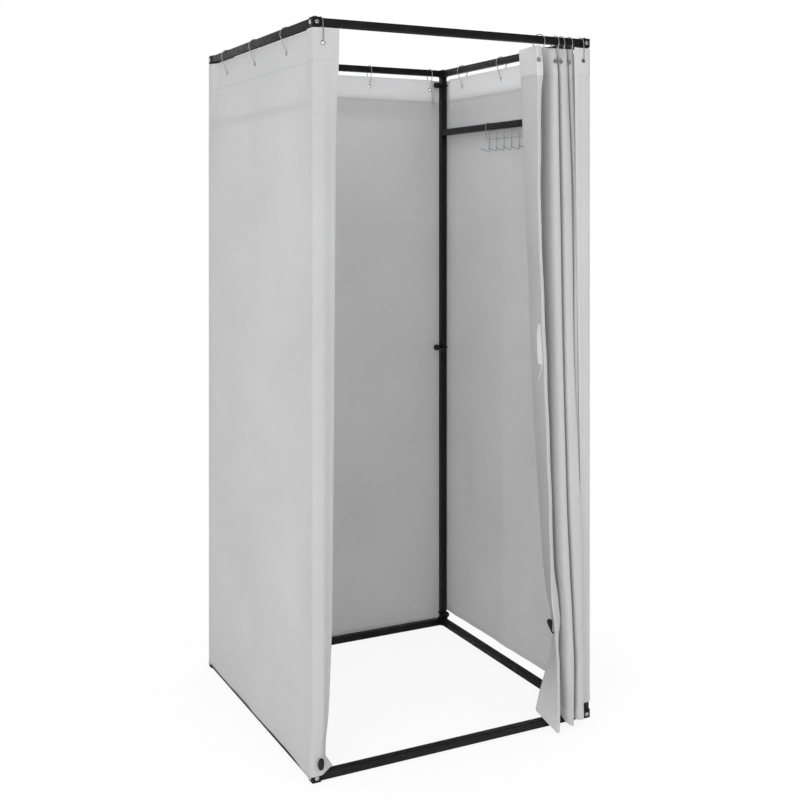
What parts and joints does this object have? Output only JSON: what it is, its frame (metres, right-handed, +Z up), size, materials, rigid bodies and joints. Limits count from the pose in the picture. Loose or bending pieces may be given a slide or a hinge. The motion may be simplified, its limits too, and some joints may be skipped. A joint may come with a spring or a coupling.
{
  "type": "fitting room",
  "caption": "Portable fitting room: a knock-down frame of square tube with bolted corners, hung with fabric curtains on wire rings, with ball ties and a hook rack over a crossbar.",
  "frame": {"origin": "on the floor, under the middle of the whole outline", "axes": "+Z up, the doorway faces -Y, +X to the right seen from the doorway"},
  "size_m": [0.9004, 0.9618, 2.0044],
  "materials": {
    "frame": "black powder coat, satin",
    "wire": "bright plated wire",
    "cloth": "light grey woven polyester, dull",
    "tie": "black elastic and black ball"
  },
  "bodies": {
    "frame": {"corner_bottom_front_left": "frame", "corner_bottom_front_right": "frame", "corner_bottom_rear_left": "frame", "corner_bottom_rear_right": "frame", "corner_top_front_left": "frame", "corner_top_front_right": "frame", "corner_top_rear_left": "frame", "corner_top_rear_right": "frame", "crossbar_fixing_left_front": "wire", "crossbar_fixing_left_rear": "wire", "crossbar_fixing_right_front": "wire", "crossbar_fixing_right_rear": "wire", "crossbar_left": "frame", "crossbar_right": "frame", "curtain_left": "cloth", "curtain_rear": "cloth", "curtain_right": "cloth", "post_lower_front_left": "frame", "post_lower_front_right": "frame", "post_lower_rear_left": "frame", "post_lower_rear_right": "frame", "post_sleeve_front_left": "frame", "post_sleeve_front_right": "frame", "post_sleeve_rear_left": "frame", "post_sleeve_rear_right": "frame", "post_upper_front_left": "frame", "post_upper_front_right": "frame", "post_upper_rear_left": "frame", "post_upper_rear_right": "frame", "rail_bottom_front": "frame", "rail_bottom_left": "frame", "rail_bottom_rear": "frame", "rail_bottom_right": "frame", "rail_top_front": "frame", "rail_top_left": "frame", "rail_top_rear": "frame", "rail_top_right": "frame", "ring_front_4": "wire", "ring_left_1": "wire", "ring_left_2": "wire", "ring_left_3": "wire", "ring_left_4": "wire", "ring_rear_1": "wire", "ring_rear_2": "wire", "ring_rear_3": "wire", "ring_rear_4": "wire", "ring_right_1": "wire", "ring_right_2": "wire", "ring_right_3": "wire", "ring_right_4": "wire", "tie_front_left": "tie", "tie_rear_right_bottom": "tie", "tie_rear_right_middle": "tie", "tie_rear_right_top": "tie"},
    "curtain_carrier": {"curtain_front": "cloth", "ring_front_1": "wire", "tie_lead": "tie"},
    "second_ring": {"ring_front_2": "wire"},
    "third_ring": {"ring_front_3": "wire"},
    "rack": {"hook_rack": "wire"}
  },
  "joints": [
    {"name": "curtain_slide", "type": "slide", "parent": "frame", "child": "curtain_carrier", "axis": [-1, 0, 0], "range_m": [0, 0.615], "deforming": ["curtain_front"]},
    {"name": "second_ring_slide", "type": "slide", "parent": "frame", "child": "second_ring", "axis": [-1, 0, 0], "range_m": [0, 0.475]},
    {"name": "third_ring_slide", "type": "slide", "parent": "frame", "child": "third_ring", "axis": [-1, 0, 0], "range_m": [0, 0.22]},
    {"name": "rack_slide", "type": "slide", "parent": "frame", "child": "rack", "axis": [0, 1, 0], "range_m": [-0.18, 0.29]}
  ],
  "couplings": [
    {"joint": "second_ring_slide", "follows": "curtain_slide", "ratio": 0.76576},
    {"joint": "third_ring_slide", "follows": "curtain_slide", "ratio": 0.352}
  ]
}
